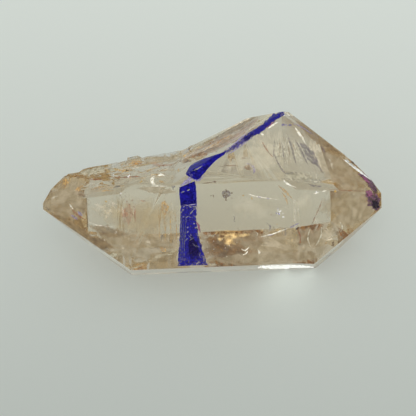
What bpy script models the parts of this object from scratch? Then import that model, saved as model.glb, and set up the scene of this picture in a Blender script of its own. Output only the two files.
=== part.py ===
"""Quartz point with two natural ends, about 40 mm long, lying on one face of its prism.

One piece: a six-sided prism, a little wider than tall, with a six-faced point at each end.
The upper back of its left half is missing. A smooth sloping break runs down from the peak at
the right, and beside it the crystal steps down in ledges that keep the prism's own directions.
The long axis of the crystal is X, the sharper end is at +X, and the flat face below is on Z = 0.
"""

import bpy
import bmesh
import math
from mathutils import Matrix, Vector

MM = 0.001

# Prism faces. Turn is the angle about the long axis, from straight up towards the front (-Y).
# Reach is the distance from the long axis through the left point, in millimetres.
TOP_TURN, TOP_REACH = 0, 8.60
FRONT_TURN, FRONT_REACH = 60, 7.87
UNDERCUT_TURN, UNDERCUT_REACH = 120, 8.56
REST_TURN, REST_REACH = 180, 6.98
BACK_TURN, BACK_REACH = 240, 5.81
CREST_TURN, CREST_REACH = 300, 9.32

# The faces of a quartz point lean 38.2 degrees from the long axis.
POINT_LEAN = 38.2
LEFT_POINT = (0.0, 0.0, 0.0)
RIGHT_POINT = (42.35, 0.64, -1.71)
LEFT_CREST_LEAN = 41.0
RIGHT_UNDERCUT_TURN, RIGHT_UNDERCUT_LEAN, RIGHT_UNDERCUT_SHIFT = 117.5, 39.3, 0.22

# The back face of each point grew larger than the others, so it lies this much farther in, and
# the point ends in a short edge like a chisel's. The right one is also steeper.
LEFT_BACK_SHIFT = 1.05
RIGHT_BACK_LEAN, RIGHT_BACK_SHIFT = 32.5, 2.04

# The upper edge of the right point is worn.
WORN_EDGE_TURN, WORN_EDGE_LEAN, WORN_EDGE_DEPTH = 330.0, 42.24, 0.26
WORN_EDGE_STARTS = 35.6

# The break: a slope that faces up, back and left, through a point at the peak.
BREAK_NORMAL = (-0.432, 0.587, 0.684)
BREAK_POINT = (29.6, 5.90, 8.60)

# Ledges at the left, from the front edge to the back: level of the tread, how far back its
# outer edge lies at the left end, how much farther back it lies for each mm to the right, and
# how far right the ledge runs.
LEDGES = (
    (8.60, -3.75, 0.000, 18.6),
    (7.85, -3.30, 0.006, 12.4),
    (7.15, -2.10, 0.010, 30.0),
    (6.30, -1.45, 0.022, 16.9),
    (5.55, -0.75, 0.035, 14.2),
    (4.60, -0.10, 0.055, 30.0),
    (3.95, 0.65, 0.052, 11.6),
    (3.20, 1.30, 0.060, 9.8),
    (2.45, 1.70, 0.120, 30.0),
    (1.75, 2.35, 0.128, 15.6),
    (0.90, 3.10, 0.160, 12.6),
    (0.15, 3.45, 0.170, 17.4),
    (-0.60, 3.90, 0.185, 30.0),
)
LEDGE_END_LEAN = 38.2

# Lumps that grew on the ledges: place along X and across, size along X, across and up, and
# how far each is turned and tipped.
LUMPS = (
    ((11.0, 1.75), (3.4, 1.5, 1.3), 12, 8),
    ((8.3, 3.05), (2.4, 1.2, 1.2), 26, -10),
    ((13.6, 3.90), (2.8, 1.5, 1.4), 18, 15),
    ((7.0, 0.80), (2.0, 1.0, 0.9), 40, -6),
    ((15.6, 1.20), (2.6, 1.1, 1.0), 8, 12),
    ((11.9, 5.20), (2.5, 1.6, 1.3), 33, -14),
    ((16.9, 4.50), (2.6, 1.3, 1.0), 22, 6),
    ((9.6, -1.05), (2.2, 0.9, 0.8), 15, 10),
    ((19.2, 6.00), (2.4, 1.4, 0.9), 28, -8),
)
LUMP_SUNK = 0.12

# Shell-shaped chips: centre, half sizes and turn about Z of the shape each is scooped out with.
CHIPS = (
    ((14.35, -4.35, 9.45), (1.70, 1.00, 1.05), 12),
    ((15.60, -3.85, 9.70), (1.50, 0.90, 1.35), -18),
    ((29.60, 6.15, 9.90), (1.90, 1.20, 1.50), 36),
    ((28.70, 6.75, 9.55), (1.60, 1.00, 1.25), 30),
    ((30.35, 5.10, 9.75), (1.00, 1.50, 1.25), 10),
    ((5.55, -0.95, 5.35), (1.20, 0.45, 0.75), 25),
    ((18.60, -2.35, 9.05), (1.10, 0.45, 0.55), 36),
    ((12.30, 0.30, 6.35), (1.60, 0.80, 1.05), -15),
    ((9.40, 1.90, 4.75), (1.50, 0.70, 0.90), 22),
    ((14.80, 2.80, 4.75), (1.70, 0.80, 1.10), -10),
    ((7.60, -2.40, 6.68), (0.90, 0.40, 0.50), 50),
    ((41.40, -0.20, -2.05), (0.85, 0.85, 0.85), 0),
)

# Wide, shallow waves that the break left: place on the break, radius and depth.
WAVES = (
    ((26.2, 4.7), 9.0, 0.20),
    ((22.9, 3.4), 20.0, 0.24),
    ((19.2, 1.3), 8.0, 0.16),
    ((24.3, 6.5), 16.0, 0.22),
    ((20.6, 5.2), 9.0, 0.18),
)

BLOCK = 90.0


def prism_normal(turn):
    angle = math.radians(turn)
    return Vector((0, -math.sin(angle), math.cos(angle)))


def point_normal(turn, lean, end):
    """Outward normal of a face of a point; end is -1 for the left point and +1 for the right."""
    angle = math.radians(lean)
    return prism_normal(turn) * math.cos(angle) + Vector((end * math.sin(angle), 0, 0))


def cut(shape, point, normal):
    """Cuts away what lies outside the plane, and closes the cut with one flat face."""
    everything = shape.verts[:] + shape.edges[:] + shape.faces[:]
    result = bmesh.ops.bisect_plane(
        shape,
        geom=everything,
        dist=1e-6,
        plane_co=Vector(point),
        plane_no=Vector(normal),
        clear_outer=True,
    )
    rim = [item for item in result["geom_cut"] if isinstance(item, bmesh.types.BMEdge)]
    if rim:
        bmesh.ops.edgenet_fill(shape, edges=rim)
    bmesh.ops.recalc_face_normals(shape, faces=shape.faces[:])


def block(centre=(20, 0, 0)):
    """A large block, for the planes to cut a shape out of."""
    shape = bmesh.new()
    bmesh.ops.create_cube(shape, size=BLOCK, matrix=Matrix.Translation(centre))
    return shape


def to_object(shape, name, collection):
    """The shape, in millimetres until here, as an object in metres."""
    bmesh.ops.scale(shape, vec=(MM, MM, MM), verts=shape.verts[:])
    mesh = bpy.data.meshes.new(name)
    shape.to_mesh(mesh)
    shape.free()
    obj = bpy.data.objects.new(name, mesh)
    collection.objects.link(obj)
    return obj


def as_cutter(obj):
    obj.hide_render = True
    obj.display_type = "WIRE"
    return obj


def boolean(obj, other, operation):
    step = obj.modifiers.new(other.name, "BOOLEAN")
    step.operation = operation
    step.object = other
    step.solver = "EXACT"


def whole_crystal():
    """The crystal before the break: prism, two points, and their worn tips."""
    shape = block()
    for turn, reach in (
        (TOP_TURN, TOP_REACH),
        (FRONT_TURN, FRONT_REACH),
        (UNDERCUT_TURN, UNDERCUT_REACH),
        (REST_TURN, REST_REACH),
        (BACK_TURN, BACK_REACH),
        (CREST_TURN, CREST_REACH),
    ):
        normal = prism_normal(turn)
        cut(shape, normal * reach, normal)
    for turn, lean, inward in (
        (TOP_TURN, POINT_LEAN, 0),
        (FRONT_TURN, POINT_LEAN, 0),
        (UNDERCUT_TURN, POINT_LEAN, 0),
        (REST_TURN, POINT_LEAN, 0),
        (BACK_TURN, POINT_LEAN, LEFT_BACK_SHIFT),
        (CREST_TURN, LEFT_CREST_LEAN, 0),
    ):
        normal = point_normal(turn, lean, -1)
        cut(shape, Vector(LEFT_POINT) - normal * inward, normal)
    for turn, lean, inward in (
        (TOP_TURN, POINT_LEAN, 0),
        (FRONT_TURN, POINT_LEAN, 0),
        (RIGHT_UNDERCUT_TURN, RIGHT_UNDERCUT_LEAN, -RIGHT_UNDERCUT_SHIFT),
        (REST_TURN, POINT_LEAN, 0),
        (BACK_TURN, RIGHT_BACK_LEAN, RIGHT_BACK_SHIFT),
        (CREST_TURN, POINT_LEAN, 0),
    ):
        normal = point_normal(turn, lean, 1)
        cut(shape, Vector(RIGHT_POINT) - normal * inward, normal)
    return shape


def worn_edge():
    """What is worn off the upper edge of the right point, from some way down to its tip."""
    shape = block()
    normal = point_normal(WORN_EDGE_TURN, WORN_EDGE_LEAN, 1)
    cut(shape, Vector(RIGHT_POINT) - normal * WORN_EDGE_DEPTH, -normal)
    cut(shape, (WORN_EDGE_STARTS, 0, 0), (-1, 0, 0.35))
    return shape


def ledge_block(tread, edge_at_left, spread, run_to):
    """What stands under one tread: flat on top, its outer side parallel to the crest face."""
    shape = block((20, -30, -30))
    cut(shape, (0, 0, tread), (0, 0, 1))
    riser = prism_normal(CREST_TURN) + Vector((-spread, 0, 0))
    cut(shape, (0, edge_at_left, tread), riser.normalized())
    end = point_normal(TOP_TURN, LEDGE_END_LEAN, 1)
    cut(shape, (run_to, 0, tread), end)
    return shape


def break_level(x, y):
    """Height of the sloping break at a place."""
    slope = Vector(BREAK_NORMAL)
    point = Vector(BREAK_POINT)
    return point.z - (slope.x * (x - point.x) + slope.y * (y - point.y)) / slope.z


def broken_level(x, y):
    """Height of the broken side at a place: the break, or a ledge that stands above it."""
    levels = [break_level(x, y)]
    for tread, edge_at_left, spread, run_to in LEDGES:
        past_edge = max(0.0, y - edge_at_left - spread * x)
        past_end = max(0.0, x - run_to)
        drop = max(past_edge * math.sqrt(3), past_end * math.tan(math.radians(LEDGE_END_LEAN)))
        levels.append(tread - drop)
    return max(levels)


def lump(place, size, turn, tip):
    """A lump with a few flat sides, sunk past its middle in the broken side."""
    shape = bmesh.new()
    spin = Matrix.Rotation(math.radians(turn), 4, "X") @ Matrix.Rotation(math.radians(tip), 4, "Y")
    stretch = Matrix.Diagonal((size[0] / 2, size[1] / 2, size[2] / 2, 1))
    roll = Matrix.Rotation(math.radians(7 * turn), 4, "X")
    centre = (place[0], place[1], broken_level(*place) - LUMP_SUNK)
    matrix = Matrix.Translation(centre) @ spin @ stretch @ roll
    bmesh.ops.create_icosphere(shape, subdivisions=1, radius=1, matrix=matrix)
    return shape


def chip(centre, half_sizes, turn):
    shape = bmesh.new()
    spin = Matrix.Rotation(math.radians(turn), 4, "Z")
    matrix = Matrix.Translation(centre) @ spin @ Matrix.Diagonal((*half_sizes, 1))
    bmesh.ops.create_icosphere(shape, subdivisions=4, radius=1, matrix=matrix)
    return shape


def wave(place, radius, depth):
    """A ball that dips below the break by the depth."""
    shape = bmesh.new()
    on_break = Vector((*place, break_level(*place)))
    out = Vector(BREAK_NORMAL).normalized()
    matrix = Matrix.Translation(on_break + out * (radius - depth))
    bmesh.ops.create_icosphere(shape, subdivisions=5, radius=radius, matrix=matrix)
    return shape


def clear_quartz():
    """Clear, faintly smoky quartz, shiny on its natural faces."""
    material = bpy.data.materials.new("clear_quartz")
    material.use_nodes = True
    shader = material.node_tree.nodes["Principled BSDF"]
    shader.inputs["Base Color"].default_value = (0.60, 0.54, 0.41, 1)
    shader.inputs["Roughness"].default_value = 0.05
    shader.inputs["Metallic"].default_value = 0.0
    shader.inputs["IOR"].default_value = 1.544
    shader.inputs["Transmission Weight"].default_value = 1.0
    return material


def main():
    for old in list(bpy.data.objects):
        bpy.data.objects.remove(old, do_unlink=True)
    parts = bpy.data.collections.new("quartz_point")
    cutters = bpy.data.collections.new("cutters")
    bpy.context.scene.collection.children.link(parts)
    bpy.context.scene.collection.children.link(cutters)

    crystal = to_object(whole_crystal(), "quartz_crystal", parts)

    # The missing part: above the break and above every ledge.
    slope = block((10, 30, 30))
    cut(slope, BREAK_POINT, [-part for part in BREAK_NORMAL])
    missing = as_cutter(to_object(slope, "missing_part", cutters))
    for number, ledge in enumerate(LEDGES):
        stands = to_object(ledge_block(*ledge), f"ledge_{number}", cutters)
        boolean(missing, as_cutter(stands), "DIFFERENCE")
    boolean(crystal, missing, "DIFFERENCE")
    worn = as_cutter(to_object(worn_edge(), "worn_edge", cutters))
    boolean(crystal, worn, "DIFFERENCE")

    for number, (place, size, turn, tip) in enumerate(LUMPS):
        grown = to_object(lump(place, size, turn, tip), f"lump_{number}", cutters)
        boolean(crystal, as_cutter(grown), "UNION")
    for number, values in enumerate(CHIPS):
        scoop = to_object(chip(*values), f"chip_{number}", cutters)
        boolean(crystal, as_cutter(scoop), "DIFFERENCE")
    for number, values in enumerate(WAVES):
        scoop = to_object(wave(*values), f"wave_{number}", cutters)
        boolean(crystal, as_cutter(scoop), "DIFFERENCE")

    # Stand the box of the whole shape with its bottom centre on the origin.
    bpy.context.view_layer.update()
    shape = crystal.evaluated_get(bpy.context.evaluated_depsgraph_get()).to_mesh()
    spots = [spot.co for spot in shape.vertices]
    low = Vector([min(spot[axis] for spot in spots) for axis in range(3)])
    high = Vector([max(spot[axis] for spot in spots) for axis in range(3)])
    shift = Vector((-(low.x + high.x) / 2, -(low.y + high.y) / 2, -low.z))
    for obj in list(parts.objects) + list(cutters.objects):
        obj.location = shift
    crystal.data.materials.append(clear_quartz())


main()
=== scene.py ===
"""Looks of the quartz point: the clear crystal, what is in it and on it, and the studio."""

import math
import random

import bpy
from mathutils import Matrix, Vector, noise
from mathutils.bvhtree import BVHTree


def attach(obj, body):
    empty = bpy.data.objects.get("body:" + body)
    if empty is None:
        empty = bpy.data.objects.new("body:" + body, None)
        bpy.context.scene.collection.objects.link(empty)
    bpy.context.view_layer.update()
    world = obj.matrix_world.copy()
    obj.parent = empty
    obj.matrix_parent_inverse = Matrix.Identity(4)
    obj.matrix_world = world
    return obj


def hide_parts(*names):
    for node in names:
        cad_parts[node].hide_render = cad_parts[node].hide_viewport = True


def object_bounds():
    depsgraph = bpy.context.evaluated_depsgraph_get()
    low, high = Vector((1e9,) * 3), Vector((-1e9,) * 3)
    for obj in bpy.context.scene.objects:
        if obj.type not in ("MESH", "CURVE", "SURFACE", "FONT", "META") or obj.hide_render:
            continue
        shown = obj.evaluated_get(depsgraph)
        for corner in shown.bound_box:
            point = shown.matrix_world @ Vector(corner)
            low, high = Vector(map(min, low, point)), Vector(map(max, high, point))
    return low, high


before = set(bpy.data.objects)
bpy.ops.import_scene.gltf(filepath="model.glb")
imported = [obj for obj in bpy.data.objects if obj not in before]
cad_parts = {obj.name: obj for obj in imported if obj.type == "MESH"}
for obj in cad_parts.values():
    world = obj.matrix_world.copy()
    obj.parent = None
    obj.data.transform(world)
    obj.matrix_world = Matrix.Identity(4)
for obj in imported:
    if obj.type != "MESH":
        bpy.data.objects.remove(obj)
cad_low, cad_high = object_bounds()

MM = 0.001
QUARTZ_IOR = 1.544
# The tint of the smoke in the stone, and how dense it is for each metre.
SMOKE = "#ebce7c"
SMOKE_PER_M = 31.0

# The picture is taken from this height above level, square to the crystal's long axis.
ELEVATION = math.radians(55)
ALONG = Vector((1, 0, 0))
UP = Vector((0, math.sin(ELEVATION), math.cos(ELEVATION)))
TOWARDS_CAMERA = Vector((0, -math.cos(ELEVATION), math.sin(ELEVATION)))

# Places on the crystal are given as (x, up) in mm: along the crystal and up in the picture, from
# the place where the faces of the left point would meet if they ended in one sharp tip.
LEFT_TIP = Vector((cad_low.x - 0.85 * MM, 0.375 * MM, 6.98 * MM))

# A film's thickness in mm, and how far one on the surface stands clear of it: too little to see.
FILM = 0.012
ON_STONE = 0.025

# Depths in mm behind the surface: of a film that lies on another one, and of the grains.
ON_INK = -0.02
GRAIN_DEPTH = 0.12

# A line of sight starts this far out, in metres.
FAR_OUT = 0.1

# A plane with more than this area is a face that grew, and the rest is broken.
GROWN_AREA = 9 * MM**2
# A plane's distance from the origin is rounded to this, in mm.
PLANE_STEP = 0.04

# The break's finest faces, and how high its ripples and steps stand, in mm.
FINEST = 0.45
RIPPLE = 0.05
STEP = 0.12
# Coarse ripples, fine ripples and steps to a mm, how high a fine ripple is beside a coarse one,
# and how many levels a step has.
RIPPLES_PER_MM = 1.6
FINE_RIPPLES_PER_MM = 4.0
FINE_SHARE = 0.6
STEPS_PER_MM = 0.9
STEP_LEVELS = 4
# The way the break runs, and the share of the distance along it that the pattern skips.
BREAK_RUN = Vector((1, 0.736, 0)).normalized()
DRAWN_OUT = 0.75
# How often its long edges are halved.
SPLIT_ROUNDS = 6

# Corners this near are one corner, in metres; faces this near to level with each other are one
# face, and edges less sharp than the second angle are shaded smooth.
WELD = 1e-6
LEVEL = math.radians(0.3)
SMOOTH = math.radians(14)

# A strip's rows are this long in mm, within these limits of their number, and its width wavers
# this often in a mm along it and from edge to edge.
ROW = 0.1
FEWEST_ROWS, MOST_ROWS = 6, 90
WAVERS_ALONG, WAVERS_ACROSS = 2.5, 3


def linear(hex_colour):
    """An sRGB hex colour as the linear values that shaders take."""
    channels = [int(hex_colour[i : i + 2], 16) / 255 for i in (1, 3, 5)]
    return tuple(
        c / 12.92 if c <= 0.04045 else ((c + 0.055) / 1.055) ** 2.4 for c in channels
    ) + (1.0,)


def add(tree, kind, inputs=None, **settings):
    """Adds a node with its settings; an input is a socket of another node or a plain value."""
    node = tree.nodes.new(kind)
    for name, value in settings.items():
        setattr(node, name, value)
    for name, value in (inputs or {}).items():
        if isinstance(value, bpy.types.NodeSocket):
            tree.links.new(value, node.inputs[name])
        else:
            node.inputs[name].default_value = value
    return node


def new_material(name):
    """A new material that holds nothing but its output node."""
    material = bpy.data.materials.new(name)
    material.use_nodes = True
    tree = material.node_tree
    tree.nodes.clear()
    return material, tree, tree.nodes.new("ShaderNodeOutputMaterial")


# Materials


def clear_quartz():
    """Smoky quartz as it grew: glassy, very pale brown, with fine growth lines across the prism."""
    material, tree, out = new_material("clear_quartz")
    where = add(tree, "ShaderNodeTexCoord").outputs["Object"]
    # Growth lines 0.35 mm apart and slow waves 3 mm long, both too low to feel.
    across = add(tree, "ShaderNodeMapping", {"Vector": where, "Scale": (1.0, 0.06, 0.06)})
    pattern = {"Vector": across.outputs[0], "Scale": 1 / (0.35 * MM), "Detail": 2.0}
    lines = add(tree, "ShaderNodeTexNoise", pattern)
    pattern = {"Vector": where, "Scale": 1 / (3.0 * MM), "Detail": 1.0}
    waves = add(tree, "ShaderNodeTexNoise", pattern)
    relief = {"Strength": 0.5, "Distance": 0.06 * MM, "Height": waves.outputs[0]}
    slow = add(tree, "ShaderNodeBump", relief)
    relief = {"Strength": 0.5, "Distance": 0.003 * MM, "Height": lines.outputs[0]}
    fine = add(tree, "ShaderNodeBump", {**relief, "Normal": slow.outputs[0]})
    glass = {"Base Color": linear("#ffffff"), "Roughness": 0.0, "IOR": QUARTZ_IOR}
    glass |= {"Transmission Weight": 1.0, "Normal": fine.outputs[0]}
    shader = add(tree, "ShaderNodeBsdfPrincipled", glass)
    tree.links.new(shader.outputs["BSDF"], out.inputs["Surface"])
    smoke = add(tree, "ShaderNodeVolumeAbsorption", {"Color": linear(SMOKE), "Density": SMOKE_PER_M})
    tree.links.new(smoke.outputs["Volume"], out.inputs["Volume"])
    return material


# A film is there where the sum of its noises and its edge passes a ramp. It starts and ends at
# these values, lower for more cover, and ends higher for an edge softer than the sharp one.
RAMP_START, RAMP_END = 1.25, 1.55
RAMP_PER_COVER = 0.75
SHARP_EDGE = 0.06
RAMP_PER_FADE = 3
# The noise values that take a film's dark and its light colour.
DARK_BELOW, LIGHT_ABOVE = 0.38, 0.62


def thin_film(
    name, dark, light, cover, dense, grain, threads=(6, 6), rag=0.6, gloss=0.5, glow=0.0,
    fade=SHARP_EDGE,
):
    """A thin film or veil: two colours in patches of one grain size, with gaps and ragged edges.

    cover is how much of its area is there and dense how much that hides, grain its patch size
    in mm, and threads how many streaks it has across and along. glow stands for the light that
    the stone around a film inside it scatters onto it, and fade is how far in its edges reach."""
    material, tree, out = new_material(name)
    place = add(tree, "ShaderNodeTexCoord")
    own = add(tree, "ShaderNodeSeparateXYZ", {0: place.outputs["UV"]})
    # The UV map runs across and along the piece in units of its own width and length.
    pattern = {"Vector": place.outputs["Object"], "Scale": 1 / (grain * MM), "Detail": 4.0}
    patches = add(tree, "ShaderNodeTexNoise", pattern)
    drawn = add(tree, "ShaderNodeMapping", {"Vector": place.outputs["UV"], "Scale": (*threads, 1.0)})
    pattern = {"Vector": drawn.outputs[0], "Scale": 1.0, "Detail": 3.0}
    threaded = add(tree, "ShaderNodeTexNoise", pattern)
    pair = {0: patches.outputs[0], 1: threaded.outputs[0]}
    both = add(tree, "ShaderNodeMath", pair, operation="ADD")
    # From 0 at either long edge to 0.5 in the middle, and the same for the two ends.
    sides = add(tree, "ShaderNodeMath", {0: own.outputs[0], 1: 0.5}, operation="PINGPONG")
    ends = add(tree, "ShaderNodeMath", {0: own.outputs[1], 1: 0.5}, operation="PINGPONG")
    pair = {0: sides.outputs[0], 1: ends.outputs[0]}
    nearest = add(tree, "ShaderNodeMath", pair, operation="MULTIPLY")
    ramp = {"Value": nearest.outputs[0], "From Max": fade, "To Min": -rag, "To Max": 0.0}
    edge = add(tree, "ShaderNodeMapRange", ramp)
    pair = {0: both.outputs[0], 1: edge.outputs[0]}
    summed = add(tree, "ShaderNodeMath", pair, operation="ADD")
    ramp = {
        "Value": summed.outputs[0],
        "From Min": RAMP_START - RAMP_PER_COVER * cover,
        "From Max": RAMP_END - RAMP_PER_COVER * cover + RAMP_PER_FADE * (fade - SHARP_EDGE),
        "To Max": dense,
    }
    alpha = add(tree, "ShaderNodeMapRange", ramp)
    ramp = {"Value": patches.outputs[0], "From Min": DARK_BELOW, "From Max": LIGHT_ABOVE}
    tone = add(tree, "ShaderNodeMapRange", ramp)
    mixed = {0: tone.outputs[0], 6: linear(dark), 7: linear(light)}
    colour = add(tree, "ShaderNodeMix", mixed, data_type="RGBA")
    inputs = {
        "Base Color": colour.outputs[2],
        "Roughness": 0.5,
        "Specular IOR Level": gloss,
        "Alpha": alpha.outputs[0],
    }
    # Painted light: the film glows in its own colour, standing for the light that the stone scatters onto it.
    if glow:
        inputs["Emission Color"] = colour.outputs[2]
        inputs["Emission Strength"] = glow
    shader = add(tree, "ShaderNodeBsdfPrincipled", inputs)
    tree.links.new(shader.outputs["BSDF"], out.inputs["Surface"])
    return material


# Each film is (dark, light, cover, dense, grain, threads, rag, gloss, glow, fade), as thin_film
# takes them, and may leave out the last ones.
FILMS = {
    # Dried blue ink, thick and even: deep ultramarine, almost matt.
    "blue_ink": ("#120a74", "#2a22c4", 1.15, 1.0, 0.35, (6, 3), 0.25, 0.12),
    # The same ink worn thin and scratched: navy to violet, the stone showing in small gaps.
    "worn_ink": ("#261c6c", "#403cd6", 0.86, 0.97, 0.13, (7, 12), 0.15, 0.12),
    # The trail of ink along the broken edge: mottled navy and violet, with gaps.
    "broken_ink": ("#2a1e70", "#8478cc", 0.7, 1.0, 0.16, (5, 14), 0.2, 0.15),
    # The foot of the band, smeared and darker: navy with violet.
    "dull_ink": ("#1a1040", "#3c2c80", 0.9, 0.8, 0.2, (5, 5), 0.9, 0.15, 0.0, 0.14),
    # Ink dried to a pale rim: lavender, matt. The same film also stands as painted lavender highlights and
    # glints.
    "pale_ink_and_glint": ("#8f80bc", "#d6cdec", 0.78, 0.9, 0.2, (4, 9), 0.5, 0.3, 0.12),
    # Magenta left where the ink bled.
    "pink_ink": ("#8c3f74", "#d08aa8", 0.7, 0.9, 0.15, (3, 8), 0.6, 0.3, 0.1),
    # Plum residue baked on the sharp point: near-black brown violet, dull.
    "plum_residue": ("#4e3a4e", "#a0748a", 0.74, 0.9, 0.3, (5, 5), 0.5, 0.3, 0.05),
    # The same residue where it is thickest: almost black.
    "dark_residue": ("#1c141f", "#4c3650", 0.95, 0.9, 0.25, (4, 4), 0.8, 0.3, 0.0, 0.12),
    # Painted highlights in white: a thin line along an edge, and a wider strip with cross lines along the
    # foot.
    "painted_edge_highlight": ("#d8d8d0", "#ffffff", 0.9, 1.0, 0.25, (2, 12), 0.4, 0.5, 0.4),
    "painted_foot_highlight": ("#d0d0c4", "#ffffff", 0.9, 0.97, 0.4, (2, 70), 0.4, 0.5, 0.6),
    # A healed fracture: a thin silvery white sheet that catches the light. The same glowing white film also
    # stands as painted highlights and glints on edges, chips and the rims of hollows.
    "fracture_and_glint": ("#cfcab8", "#fffdf4", 0.78, 0.9, 0.3, (6, 4), 0.6, 0.5, 0.6),
    # A fainter sheet of the same kind, hardly whiter than the stone.
    "faint_veil": ("#c4bda6", "#f4efde", 0.56, 0.32, 0.45, (5, 4), 0.6, 0.5, 0.4),
    # The shaded side of a fracture: grey with a little violet.
    "grey_veil": ("#5f5458", "#958a96", 0.62, 0.5, 0.3, (6, 4), 0.6, 0.5, 0.3),
    # A veil with a violet cast.
    "violet_veil": ("#6a5c94", "#b3a8d8", 0.65, 0.5, 0.25, (4, 6), 0.6, 0.5, 0.35),
    # A fracture seen nearly edge on: a pale ray. The same film also stands as painted highlights at the peak
    # and above the ink trail.
    "pale_ray": ("#aaa48e", "#dedac8", 0.72, 0.6, 0.3, (4, 5), 0.6, 0.5, 0.5),
    # Iron oxide in old cracks: ochre to gold.
    "golden_stain": ("#a5702c", "#e4be74", 0.6, 0.5, 0.35, (4, 5), 0.6, 0.5, 0.4),
    # Gold where light comes up through a crack and gathers.
    "golden_glint": ("#bb9a60", "#f4dca4", 1.05, 0.62, 0.5, (3, 3), 1.0, 0.5, 0.6, 0.2),
    # The redder iron oxide: rust.
    "rust_stain": ("#7c4422", "#b8734a", 0.62, 0.6, 0.3, (4, 6), 0.6, 0.5, 0.35),
    # Rosy fibres of iron-stained growth.
    "rosy_fibre": ("#987057", "#c6a284", 0.75, 0.5, 0.35, (3, 3), 0.8, 0.5, 0.45, 0.12),
    # Brown and cloudy: fine mineral dust in the stone, and painted shade in the dark lower band and at the
    # rim of a hollow.
    "brown_dust_and_shade": ("#70502c", "#9c774a", 1.1, 0.6, 1.0, (3, 3), 1.0, 0.5, 0.4, 0.16),
    # Painted shade: a brown haze that darkens and warms the stone, mostly near the lower front and in the
    # points.
    "painted_brown_haze": ("#8d7f62", "#a79b82", 1.25, 0.42, 0.8, (3, 3), 0.9, 0.5, 0.75, 0.1),
    # A paler haze that greys the stone under the peak.
    "pale_haze": ("#b5ae98", "#c4bda8", 1.25, 0.34, 0.8, (3, 3), 0.9, 0.5, 0.8, 0.14),
    # Painted shade: a deeper brown, along the outline and over a few darker places.
    "brown_shade": ("#7a6444", "#9c8662", 1.15, 0.5, 0.6, (3, 3), 0.9, 0.5, 0.55, 0.12),
    # Slow clouds in the clearest part, hardly there.
    "soft_cloud": ("#aaa288", "#c9c3ae", 1.15, 0.2, 1.6, (2, 2), 1.0, 0.5, 0.78, 0.2),
    # Milky quartz of many small fractures.
    "milky_patch": ("#948d76", "#bbb5a0", 1.15, 0.8, 0.5, (4, 4), 1.0, 0.5, 0.72, 0.14),
    # Ink wiped so thin that the stone shows through: blue grey.
    "thin_ink": ("#5c5a90", "#8c8cb4", 0.7, 0.6, 0.2, (3, 9), 0.5, 0.2, 0.1),
    # Spots where the ink has flaked off and left a chalky rim.
    "bare_flake": ("#9a94b4", "#d2cdc4", 0.85, 0.85, 0.12, (3, 3), 0.5, 0.3, 0.1),
    # The ink where it is freshest: bright blue.
    "bright_ink": ("#1c16b0", "#3c38dc", 0.8, 0.9, 0.2, (4, 6), 0.5, 0.2),
    # Stone with a trace of iron: a wide, faint yellow cast.
    "yellow_cast": ("#a58c5c", "#c2ac7a", 1.1, 0.22, 0.9, (3, 3), 0.9, 0.5, 0.5, 0.16),
    # Painted reflection on the break: a rosy brown, the colour of what lies behind it seen through the stone.
    "painted_rosy_brown": ("#805e3c", "#a88058", 1.25, 0.74, 0.6, (4, 4), 0.9, 0.5, 0.45, 0.1),
}
MATERIALS = {name: thin_film(name, *look) for name, look in FILMS.items()}


def speck_material(name, colour, roughness, glow=0.0):
    """A grain of mineral: one colour, darker and lighter by the tenth of a millimetre."""
    material, tree, out = new_material(name)
    where = add(tree, "ShaderNodeTexCoord").outputs["Object"]
    pattern = {"Vector": where, "Scale": 1 / (0.1 * MM), "Detail": 2.0}
    grain = add(tree, "ShaderNodeTexNoise", pattern)
    mixed = {0: 0.6, 6: linear(colour), 7: grain.outputs["Color"]}
    shade = add(tree, "ShaderNodeMix", mixed, data_type="RGBA", blend_type="MULTIPLY")
    look = {"Base Color": shade.outputs[2], "Roughness": roughness}
    # Painted light: the grain glows in its own colour.
    look |= {"Emission Color": linear(colour), "Emission Strength": glow}
    shader = add(tree, "ShaderNodeBsdfPrincipled", look)
    tree.links.new(shader.outputs["BSDF"], out.inputs["Surface"])
    return material


# Each grain is (colour, roughness, glow), as speck_material takes them.
SPECKS = {
    # Seeds of dark mineral, brown-black.
    "dark_seed": ("#8c7a68", 0.6, 0.45),
    # Painted glints: white grains with a glow of their own.
    "painted_white_glint": ("#ffffff", 0.3, 0.6),
    # Grains of iron ochre.
    "ochre_grain": ("#e6b83c", 0.6, 0.4),
    # Grains of red iron oxide.
    "rust_grain": ("#c06848", 0.6, 0.05),
    # Glints with a violet cast.
    "violet_flake": ("#b4acf4", 0.4, 0.4),
    # Crumbs of the blue ink.
    "ink_crumb": ("#4a40a0", 0.5),
}
GRAINS = {name: speck_material(name, *look) for name, look in SPECKS.items()}


# The crystal


def deselect():
    """Leaves edit mode and selects nothing, because an operator acts on all that is selected."""
    if bpy.context.object and bpy.context.object.mode != "OBJECT":
        bpy.ops.object.mode_set(mode="OBJECT")
    bpy.ops.object.select_all(action="DESELECT")


def plane_of(face):
    """Names the plane that a face lies on, by its direction and its distance from the origin."""
    distance = round(face.center.dot(face.normal) / MM / PLANE_STEP)
    return tuple(round(v, 2) for v in face.normal) + (distance,)


def broken_faces(mesh):
    """The faces of the break: all that don't lie on one of the large planes that grew."""
    area = {}
    for face in mesh.polygons:
        area[plane_of(face)] = area.get(plane_of(face), 0) + face.area
    return [face for face in mesh.polygons if area[plane_of(face)] < GROWN_AREA]


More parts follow.
